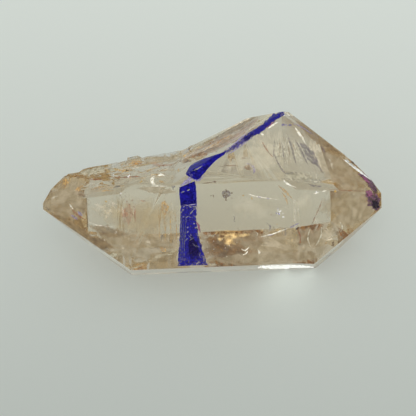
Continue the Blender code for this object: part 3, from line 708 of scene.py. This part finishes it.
STAINS = (
    ("painted_brown_haze", 0.35, ((6.6, -3.4, 0.8), (9.5, -4.9, 3.6), (13.5, -5.6, 4.6), (17.6, -5.7, 4.8))),
    ("painted_brown_haze", 0.35,
     ((18.6, -5.8, 4.0), (24.0, -6.0, 4.6), (29.0, -5.9, 4.4), (33.5, -5.0, 2.6), (35.5, -4.4, 0.8))),
    ("painted_brown_haze", 0.3, ((0.4, 0.0, 1.6), (3.5, -0.2, 4.6), (6.5, -0.4, 5.6))),
    ("painted_brown_haze", 0.2, ((0.4, 0.4, 1.4), (2.6, 1.0, 3.6), (4.4, 0.8, 4.6), (6.1, 0.2, 4.2))),
    ("brown_shade", 0.1,
     ((0.8, -0.5, 0.3), (3.0, -1.8, 0.9), (5.5, -3.7, 1.1), (8.0, -5.7, 1.2), (9.6, -6.9, 0.5))),
    ("brown_shade", 0.15, ((5.9, -2.6, 0.5), (7.5, -3.3, 1.5), (9.4, -3.8, 1.5), (11.4, -4.1, 0.7))),
    ("milky_patch", 0.1, ((4.3, 3.3, 0.4), (6.0, 3.55, 1.5), (7.8, 3.8, 1.7), (9.6, 3.9, 0.7))),
    ("rosy_fibre", 0.35, ((10.8, 0.3, 0.4), (10.9, -0.9, 1.7), (10.9, -2.2, 1.5), (10.8, -3.3, 0.4))),
    ("painted_brown_haze", 0.2, ((11.8, 1.4, 0.4), (13.6, 1.15, 0.9), (15.4, 0.9, 0.9), (16.8, 0.7, 0.3))),
    ("painted_brown_haze", 0.3, ((32.8, -1.9, 5.0), (36.5, -1.6, 6.2), (39.4, -1.3, 3.4), (40.4, -1.2, 1.6))),
    ("painted_brown_haze", 0.25, ((33.0, 5.2, 1.0), (34.8, 3.2, 3.6), (36.8, 1.7, 3.4), (39.4, 0.6, 1.4))),
    ("painted_brown_haze", 0.15, ((36.0, -3.0, 1.4), (37.6, -2.6, 3.2), (39.0, -2.2, 2.2), (40.2, -1.9, 0.8))),
    ("brown_shade", 0.1,
     ((17.6, 5.4, 0.3), (21.4, 6.9, 0.9), (24.0, 8.2, 1.0), (26.2, 9.1, 0.8), (28.2, 9.7, 0.3))),
    ("brown_dust_and_shade", 0.05, ((19.1, 1.6, 0.06), (20.3, 1.68, 0.18), (21.6, 1.82, 0.06))),
    ("brown_shade", 0.15, ((30.4, 8.9, 0.5), (32.2, 7.5, 1.4), (34.2, 5.9, 1.7), (36.9, 3.8, 0.7))),
    ("grey_veil", 0.15, ((21.8, 0.5, 0.5), (22.4, 0.3, 1.2), (23.0, 0.1, 0.5))),
    # Painted shade in two layers, laid over a reflection in the left point.
    ("brown_shade", 0.1, ((6.0, -4.0, 0.3), (7.0, -4.6, 1.3), (8.2, -5.2, 1.3), (9.2, -5.6, 0.3))),
    ("brown_shade", 0.2, ((6.0, -4.0, 0.3), (7.0, -4.6, 1.3), (8.2, -5.2, 1.3), (9.2, -5.6, 0.3))),
    ("painted_brown_haze", 0.2, ((28.8, -7.6, 0.8), (30.8, -7.2, 2.0), (32.8, -6.8, 2.2), (34.4, -6.0, 0.8))),
    ("painted_brown_haze", 0.2, ((33.8, -4.0, 0.8), (35.4, -3.6, 2.0), (37.2, -3.0, 2.0), (38.6, -2.4, 0.8))),
    ("soft_cloud", 0.6, ((29.6, -1.2, 3.6), (31.6, -1.2, 5.2), (33.6, -1.4, 4.6))),
    ("milky_patch", 0.4, ((28.6, 2.2, 0.3), (29.8, 2.1, 1.3), (31.6, 1.9, 1.5), (33.4, 1.4, 0.5))),
    ("soft_cloud", 1.0,
     ((19.6, -1.0, 2.0), (22.8, -1.4, 4.4), (26.0, -1.4, 4.6), (29.5, -1.4, 4.6), (32.6, -1.2, 3.0))),
    ("soft_cloud", 0.4, ((28.4, 7.6, 0.8), (29.8, 5.9, 3.4), (31.2, 4.0, 4.2), (32.4, 2.6, 1.6))),
    ("pale_haze", 0.3, ((20.5, 2.4, 0.6), (24.0, 3.8, 3.0), (27.5, 4.6, 5.0), (28.8, 4.8, 5.0))),
    ("yellow_cast", 1.5, ((5.8, -1.0, 4.4), (9.0, -1.3, 5.8), (13.0, -2.0, 7.4), (17.6, -2.4, 8.4))),
    ("yellow_cast", 0.8, ((9.6, -1.0, 3.4), (12.0, -2.0, 6.0), (15.0, -2.2, 7.4), (17.6, -2.2, 8.0))),
    ("grey_veil", 0.3, ((31.2, 6.2, 0.4), (32.3, 4.6, 1.5), (33.4, 3.0, 0.8))),
    # Painted reflection on the break: rosy and brown films for what lies behind it seen through the stone.
    ("painted_rosy_brown", 0.2, ((17.4, 4.6, 0.4), (20.0, 5.5, 1.4), (23.5, 7.2, 1.8), (27.5, 9.4, 0.8))),
    ("painted_brown_haze", 0.1, ((9.4, 4.3, 0.4), (12.5, 4.8, 1.4), (16.0, 4.8, 1.4), (18.2, 5.2, 0.6))),
    ("brown_shade", 0.2, ((18.2, 5.0, 0.3), (20.6, 5.8, 1.2), (23.5, 7.4, 1.2), (26.5, 9.2, 0.3))),
    ("brown_dust_and_shade", 0.2, ((20.0, 5.4, 0.1), (22.0, 6.6, 0.3), (24.8, 8.3, 0.3), (27.2, 9.5, 0.1))),
    ("brown_dust_and_shade", 0.2, ((17.5, 4.5, 0.1), (19.5, 5.2, 0.3), (22.5, 6.6, 0.3), (25.0, 8.4, 0.1))),
    ("rust_stain", 0.4, ((33.7, -0.3, 0.05), (33.4, -1.4, 0.14), (32.6, -3.0, 0.14), (31.9, -4.6, 0.05))),
    ("rust_stain", 0.1, ((30.4, -3.9, 0.06), (30.85, -4.9, 0.2), (30.75, -6.4, 0.06))),
    ("golden_stain", 0.2, ((3.5, 3.1, 0.4), (3.6, 2.4, 0.9), (3.3, 1.6, 0.4))),
    ("golden_stain", 0.2, ((4.6, 1.4, 0.3), (5.2, 1.6, 0.7), (5.75, 1.95, 0.3))),
    ("brown_dust_and_shade", 0.3, ((4.7, 1.8, 0.4), (5.4, 1.1, 1.2), (6.1, 0.3, 0.5))),
    ("rust_stain", 0.2, ((4.2, -0.55, 0.1), (4.6, -1.15, 0.25), (5.1, -1.6, 0.3), (6.1, -2.25, 0.1))),
    ("violet_veil", 0.2, ((4.9, -0.95, 0.15), (5.2, -1.3, 0.4), (5.5, -1.65, 0.15))),
    ("violet_veil", 0.2, ((4.0, -1.3, 0.12), (4.5, -1.7, 0.35), (5.0, -2.05, 0.12))),
    ("golden_stain", 0.3, ((14.3, -5.6, 0.2), (14.8, -5.9, 0.6), (15.2, -6.2, 0.2))),
    ("golden_stain", 0.3, ((15.2, 0.0, 0.3), (15.2, -1.0, 1.1), (15.2, -2.0, 0.3))),
    ("rosy_fibre", 0.3, ((12.2, -0.05, 0.2), (12.7, -0.1, 0.4), (13.1, -0.2, 0.2))),
    ("rust_stain", 0.1, ((8.0, 2.95, 0.06), (9.8, 2.75, 0.14), (12.0, 2.75, 0.2), (12.6, 2.65, 0.06))),
    ("rust_stain", 0.1, ((5.3, 2.9, 0.05), (6.6, 2.65, 0.14), (7.7, 2.6, 0.22), (8.1, 2.6, 0.05))),
    ("golden_stain", 0.2, ((7.5, 1.2, 0.06), (8.5, 1.25, 0.2), (9.5, 1.15, 0.06))),
    ("golden_stain", 0.1, ((9.7, 3.5, 0.3), (10.6, 3.65, 0.7), (11.6, 3.6, 0.3))),
    ("golden_stain", 0.1, ((10.8, 4.2, 0.3), (11.8, 4.45, 0.8), (13.0, 4.5, 0.3))),
    ("rust_stain", 0.2, ((11.0, 4.0, 0.1), (12.0, 4.3, 0.35), (12.9, 4.2, 0.1))),
    ("golden_stain", 0.1, ((14.6, 2.2, 0.15), (14.95, 2.0, 0.35), (15.3, 1.8, 0.15))),
    ("golden_glint", 0.1, ((17.4, 4.85, 0.1), (17.7, 5.0, 0.3), (18.3, 5.4, 0.1))),
    ("grey_veil", 0.1, ((17.5, 5.2, 0.1), (18.0, 5.6, 0.35), (18.6, 6.0, 0.1))),
    ("yellow_cast", 0.1, ((19.2, 1.58, 0.08), (22.0, 1.62, 0.3), (25.5, 1.72, 0.2), (29.2, 1.6, 0.06))),
    ("brown_dust_and_shade", 0.2, ((21.0, 3.45, 0.05), (22.8, 3.55, 0.16), (24.8, 3.4, 0.05))),
    ("brown_dust_and_shade", 0.3, ((24.1, 4.1, 0.05), (24.5, 4.45, 0.16), (25.2, 4.4, 0.05))),
    ("brown_dust_and_shade", 0.3, ((24.2, 3.3, 0.3), (25.1, 3.2, 0.9), (25.9, 2.9, 0.4))),
    ("violet_veil", 0.3, ((24.6, 3.8, 0.1), (25.5, 3.5, 0.3), (25.8, 2.8, 0.3), (25.5, 2.4, 0.1))),
    ("golden_stain", 0.4, ((28.3, 1.2, 0.1), (29.2, 0.4, 0.35), (30.3, -0.8, 0.1))),
    ("golden_stain", 0.4, ((28.8, 0.4, 0.1), (29.3, -0.4, 0.25), (29.6, -1.4, 0.1))),
    ("golden_glint", 0.15, ((19.0, -3.95, 0.2), (21.5, -4.0, 0.4), (24.0, -4.1, 0.4), (26.2, -4.25, 0.1))),
    ("golden_glint", 0.1, ((19.6, -4.3, 0.8), (22.0, -4.4, 1.6), (24.4, -4.6, 1.4), (26.2, -4.7, 0.4))),
    ("golden_glint", 0.15, ((21.6, -4.3, 0.8), (22.5, -5.1, 2.2), (23.5, -6.0, 0.8))),
    ("golden_glint", 0.05, ((20.9, -4.9, 0.3), (21.5, -4.9, 0.9), (22.2, -4.8, 0.3))),
    ("golden_glint", 0.05, ((22.1, -4.9, 0.3), (22.5, -5.2, 0.9), (22.9, -5.5, 0.3))),
    ("painted_brown_haze", 0.15,
     ((18.6, -7.3, 0.6), (23.0, -7.4, 2.0), (27.0, -7.5, 2.0), (31.0, -7.5, 1.6), (33.4, -7.4, 0.4))),
    # Painted shade in the lower band.
    ("brown_dust_and_shade", 0.25,
     ((16.6, -6.0, 2.0), (19.4, -6.0, 4.4), (22.0, -6.2, 4.2), (24.5, -6.7, 3.0), (27.0, -7.1, 1.0))),
    ("brown_dust_and_shade", 0.3, ((19.2, -4.9, 0.6), (20.6, -5.1, 1.6), (22.0, -6.0, 1.6), (24.0, -7.2, 0.6))),
    ("golden_glint", 0.03, ((35.2, -0.2, 0.12), (35.25, 0.08, 0.34), (35.2, 0.36, 0.12))),
    ("rust_stain", 0.05, ((34.0, 0.4, 0.04), (36.5, 0.15, 0.12), (39.5, -0.05, 0.05))),
    ("yellow_cast", 0.05, ((39.8, 0.8, 0.2), (40.2, 0.0, 0.5), (40.3, -0.9, 0.2))),
    # Painted reflection on the break: golden and rosy brown.
    ("golden_stain", 0.2, ((19.5, 5.4, 0.1), (21.3, 6.2, 0.6), (23.4, 7.2, 0.5), (25.0, 8.3, 0.1))),
    ("rosy_fibre", 0.15, ((20.5, 5.4, 0.1), (22.3, 6.1, 0.7), (24.3, 7.3, 0.5), (26.2, 8.6, 0.1))),
    ("rosy_fibre", 0.15, ((12.5, 4.6, 0.1), (14.0, 4.2, 0.6), (15.8, 4.0, 0.4), (17.2, 4.4, 0.1))),
)


def lay(kind, rows):
    """Lays a table of veils or stains, named by their place in it."""
    for i, (finish, depth, path) in enumerate(rows):
        line(f"{kind}_{i + 1}", finish, path, depth)


def make_painted_highlights():
    """Painted highlights in white and pale grey: beside the sharp point, at the peak and along the foot."""
    edge = ((36.33, 3.82, 0.06), (37.36, 3.0, 0.24), (38.5, 2.07, 0.24), (39.7, 1.05, 0.08))
    line("bruised_edge", "painted_edge_highlight", edge)
    peak_glint_path = ((29.4, 9.6, 0.1), (29.8, 9.5, 0.35), (30.3, 9.3, 0.3), (30.7, 9.1, 0.1))
    line("bruised_peak", "pale_ray", peak_glint_path)
    foot = ((25.8, -8.42, 0.25), (28.0, -8.5, 0.5), (30.5, -8.6, 0.45), (32.4, -8.75, 0.15))
    line("bruised_foot", "painted_foot_highlight", foot, across=4, waver=0.2)


def make_threads():
    """Sets of fine upright threads: rosy fibres at the left and yellow growth lines by the ink."""
    chance = random.Random(3)
    for i in range(FIBRES):
        x = 10.2 + 1.5 * chance.random()
        top, foot = 0.2 - 1.0 * chance.random(), -1.6 - 1.8 * chance.random()
        lean = 0.3 * (chance.random() - 0.5)
        wide = 0.25 + 0.25 * chance.random()
        path = ((x - lean, top, 0.08), (x, (top + foot) / 2, wide), (x + lean, foot, 0.08))
        line(f"fibre_{i + 1}", ("rosy_fibre", "faint_veil", "rosy_fibre")[i % 3], path, 0.3 + 0.05 * i)
    for i in range(GROWTH_LINES):
        x = 14.4 + GROWTH_LINE_GAP * i
        top, foot = 0.6 - 1.6 * chance.random(), -4.2 - 2.2 * chance.random()
        path = ((x, top, 0.03), (x + 0.06, (top + foot) / 2, 0.14), (x, foot, 0.03))
        line(f"growth_line_{i + 1}", ("golden_stain", "faint_veil")[i % 2], path, 0.25)


# (grain, centre x, centre up, spread x, spread up, count, size in mm)
CLUSTERS = (
    ("violet_flake", 29.8, 8.1, 0.8, 0.08, 4, 0.2),
    ("violet_flake", 28.5, -2.3, 0.4, 0.4, 4, 0.14),
    ("dark_seed", 22.4, 0.3, 0.6, 0.6, 20, 0.22),
    ("dark_seed", 20.8, 0.1, 0.2, 0.2, 5, 0.15),
    ("dark_seed", 25.1, 3.1, 0.8, 0.6, 8, 0.13),
    ("dark_seed", 24.6, 4.4, 0.4, 0.15, 4, 0.13),
    ("dark_seed", 21.1, 1.76, 0.12, 0.05, 3, 0.26),
    ("dark_seed", 25.7, 1.83, 0.05, 0.05, 1, 0.2),
    ("dark_seed", 24.8, 6.0, 0.5, 0.3, 4, 0.12),
    ("dark_seed", 10.5, 0.6, 0.6, 0.5, 12, 0.1),
    ("dark_seed", 21.5, -6.2, 2.2, 1.1, 40, 0.09),
    ("dark_seed", 12.5, -4.0, 5.0, 1.6, 26, 0.08),
    ("dark_seed", 29.0, -5.0, 3.0, 2.0, 20, 0.08),
    ("dark_seed", 26.0, -1.0, 9.0, 3.2, 30, 0.08),
    ("painted_white_glint", 26.5, -1.0, 9.0, 3.2, 22, 0.07),
    ("painted_white_glint", 10.0, 0.2, 5.5, 2.4, 14, 0.07),
    ("painted_white_glint", 36.5, -0.5, 3.0, 3.0, 12, 0.06),
    ("ochre_grain", 29.5, -2.4, 2.4, 4.0, 12, 0.09),
    ("ochre_grain", 8.35, 0.0, 0.15, 0.15, 3, 0.2),
    ("ochre_grain", 12.47, 2.11, 0.1, 0.1, 2, 0.22),
    ("ochre_grain", 16.85, 3.35, 0.1, 0.1, 2, 0.22),
    # Painted golden glint.
    ("ochre_grain", 17.65, 4.95, 0.15, 0.08, 3, 0.3),
    ("ochre_grain", 24.45, 0.0, 0.1, 0.1, 2, 0.15),
    ("ochre_grain", 25.35, -0.3, 0.1, 0.1, 2, 0.15),
    # Painted golden glint.
    ("ochre_grain", 35.2, 0.1, 0.06, 0.06, 2, 0.18),
    ("ochre_grain", 21.5, -5.9, 2.4, 1.2, 24, 0.08),
    ("rust_grain", 14.5, 3.95, 0.6, 0.3, 7, 0.16),
    ("rust_grain", 27.6, -2.4, 0.1, 0.1, 2, 0.16),
    ("rust_grain", 11.0, -1.2, 0.6, 1.2, 9, 0.13),
    ("painted_white_glint", 28.6, -2.2, 0.45, 0.5, 12, 0.2),
    ("painted_white_glint", 30.0, 9.3, 0.6, 0.25, 8, 0.16),
    ("painted_white_glint", 9.35, 3.0, 0.06, 0.06, 1, 0.25),
    ("painted_white_glint", 11.1, 2.85, 0.25, 0.08, 3, 0.18),
    ("painted_white_glint", 10.05, 0.9, 0.1, 0.1, 1, 0.16),
    ("painted_white_glint", 9.35, -3.7, 0.15, 0.3, 3, 0.18),
    ("painted_white_glint", 7.97, -4.5, 0.05, 0.05, 1, 0.13),
    ("painted_white_glint", 33.1, 0.1, 0.5, 0.12, 2, 0.2),
    ("painted_white_glint", 21.0, -5.9, 2.6, 1.4, 24, 0.08),
    ("painted_white_glint", 12.0, -3.5, 5.0, 1.4, 14, 0.06),
    ("ink_crumb", 16.3, 1.4, 0.3, 0.25, 6, 0.15),
    ("ink_crumb", 28.4, -2.1, 0.4, 0.4, 4, 0.12),
    ("ink_crumb", 17.0, -6.5, 0.3, 0.8, 5, 0.1),
)


def make_grains():
    """Grains and flakes just inside the stone, each cluster one piece."""
    chance = random.Random(11)
    for i, (grain, x, up, spread_x, spread_up, count, size) in enumerate(CLUSTERS):
        deselect()
        made = []
        for _ in range(count):
            grain_x = x + spread_x * chance.gauss(0, 0.5)
            grain_up = up + spread_up * chance.gauss(0, 0.5)
            place = seen_at(grain_x, grain_up, GRAIN_DEPTH)
            turn = [chance.uniform(0, math.pi) for _ in range(3)]
            wide = size * chance.uniform(0.7, 1.7) / 2
            if beside_crystal(grain_x, grain_up):
                continue
            # A flattened grain, longer than it is wide.
            bpy.ops.mesh.primitive_ico_sphere_add(
                subdivisions=1, radius=wide * MM, location=place, rotation=turn,
                scale=(1, chance.uniform(0.5, 0.9), 0.35),
            )
            made.append(bpy.context.active_object)
        for grain_piece in made:
            grain_piece.select_set(True)
        if len(made) > 1:
            bpy.ops.object.join()
        bpy.ops.object.transform_apply(location=True, rotation=True, scale=True)
        put_on(bpy.context.active_object, f"{grain}_{i + 1}", GRAINS[grain])


# Hollows with water in them: (x, up, size), and how deep they lie, in mm.
HOLLOWS = ((24.4, -6.5, 0.75), (25.95, -6.6, 0.5), (24.0, -6.9, 0.35))
HOLLOW_DEPTH = 0.7
WATER_IOR = 1.333


def make_bubbles():
    """Small hollows near the lower edge, smooth and clear; the veils beside them are painted glints on their
    rims.
    """
    material, tree, out = new_material("water")
    clear = {"Base Color": linear("#ffffff"), "Roughness": 0.0, "IOR": WATER_IOR}
    shader = add(tree, "ShaderNodeBsdfPrincipled", {**clear, "Transmission Weight": 1.0})
    tree.links.new(shader.outputs["BSDF"], out.inputs["Surface"])
    for i, (x, up, size) in enumerate(HOLLOWS):
        deselect()
        place = seen_at(x, up, HOLLOW_DEPTH)
        bpy.ops.mesh.primitive_uv_sphere_add(
            segments=24, ring_count=16, radius=size / 2 * MM, location=place,
            rotation=(0.5, 0.3, 0.4), scale=(0.8, 1.1, 0.7),
        )
        bpy.ops.object.transform_apply(location=True, rotation=True, scale=True)
        bpy.ops.object.shade_smooth()
        put_on(bpy.context.active_object, f"bubble_{i + 1}", material)


# The studio


PAPER = "#c8cdc8"
# The floor's own glow, which is painted light. Along the slope, given for each metre of X and Y, it changes
# evenly, and by so much where the slope's value reaches the range.
FLOOR_GLOW = 0.422
GLOW_SLOPE = (0.8, 5.68, 0.0)
GLOW_RANGE = 0.25
GLOW_CHANGE = 0.21
SKY = 0.64

# How much the camera is turned, how far off it is, what width it shows there and where it aims.
ROLL = math.radians(2.3)
DISTANCE = 1.0
VIEW_WIDTH = 48.94 * MM
AIM = Vector((cad_low.x + 19.37 * MM, -0.656 * MM, 6.258 * MM))

# The lamp faces this place, near the crystal's middle.
MIDDLE = Vector((0, 0, 7 * MM))

# How often light may bounce: it passes through many films, one behind another.
BOUNCES = 32


def make_floor():
    """A pale paper floor with a painted glow, a little brighter at the far right than at the near left."""
    deselect()
    bpy.ops.mesh.primitive_plane_add(size=4.0, location=(0, 0, -0.05 * MM))
    floor = bpy.context.active_object
    floor.name = "floor"
    material, tree, out = new_material("pale_floor")
    base = add(tree, "ShaderNodeBsdfDiffuse", {"Color": linear(PAPER)})
    where = add(tree, "ShaderNodeTexCoord").outputs["Object"]
    pair = {0: where, 1: GLOW_SLOPE}
    slope = add(tree, "ShaderNodeVectorMath", pair, operation="DOT_PRODUCT")
    ramp = {
        "Value": slope.outputs["Value"],
        "From Min": -GLOW_RANGE,
        "From Max": GLOW_RANGE,
        "To Min": FLOOR_GLOW - GLOW_CHANGE,
        "To Max": FLOOR_GLOW + GLOW_CHANGE,
    }
    strength = add(tree, "ShaderNodeMapRange", ramp)
    lit = {"Color": linear(PAPER), "Strength": strength.outputs[0]}
    glow = add(tree, "ShaderNodeEmission", lit)
    both = add(tree, "ShaderNodeAddShader", {0: base.outputs[0], 1: glow.outputs[0]})
    tree.links.new(both.outputs[0], out.inputs["Surface"])
    floor.data.materials.append(material)


def make_camera():
    """The camera of the picture, square to the crystal and 55 degrees above level."""
    data = bpy.data.cameras.new("camera")
    camera = bpy.data.objects.new("camera", data)
    bpy.context.scene.collection.objects.link(camera)
    camera.location = AIM + TOWARDS_CAMERA * DISTANCE
    upright = (-TOWARDS_CAMERA).to_track_quat("-Z", "Y").to_matrix()
    camera.rotation_euler = (upright @ Matrix.Rotation(-ROLL, 3, "Z")).to_euler()
    data.sensor_width = 36
    data.lens = data.sensor_width * DISTANCE / VIEW_WIDTH
    data.clip_start = 0.01
    data.clip_end = 10
    bpy.context.scene.camera = camera


def softbox(name, azimuth, elevation, distance, wide, tall, watts):
    """An area light that faces the crystal, from a direction in degrees: 0 is +Y and 90 is +X."""
    turn, high = math.radians(azimuth), math.radians(elevation)
    level = math.cos(high)
    way = Vector((math.sin(turn) * level, math.cos(turn) * level, math.sin(high)))
    data = bpy.data.lights.new(name, "AREA")
    data.shape = "RECTANGLE"
    data.size, data.size_y = wide, tall
    data.energy = watts
    lamp = bpy.data.objects.new(name, data)
    bpy.context.scene.collection.objects.link(lamp)
    lamp.location = MIDDLE + way * distance
    lamp.rotation_euler = (-way).to_track_quat("-Z", "Y").to_euler()
    lamp.visible_camera = False


def make_light():
    """Even pale light from all round, and one weak softbox overhead."""
    world = bpy.data.worlds.new("studio")
    bpy.context.scene.world = world
    world.use_nodes = True
    sky = world.node_tree.nodes["Background"]
    sky.inputs["Color"].default_value = linear("#dfe3e0")
    sky.inputs["Strength"].default_value = SKY
    softbox("overhead", azimuth=175, elevation=72, distance=0.6, wide=0.35, tall=0.35, watts=0.2)


make_ink()
make_ink_wear()
make_residue()
make_fan()
lay("veil", VEILS)
lay("stain", STAINS)
make_painted_highlights()
make_threads()
make_grains()
make_bubbles()
make_floor()
make_camera()
make_light()
scene = bpy.context.scene
scene.view_settings.view_transform = "Standard"
scene.cycles.max_bounces = BOUNCES
scene.cycles.transmission_bounces = BOUNCES
scene.cycles.glossy_bounces = BOUNCES
scene.cycles.transparent_max_bounces = BOUNCES
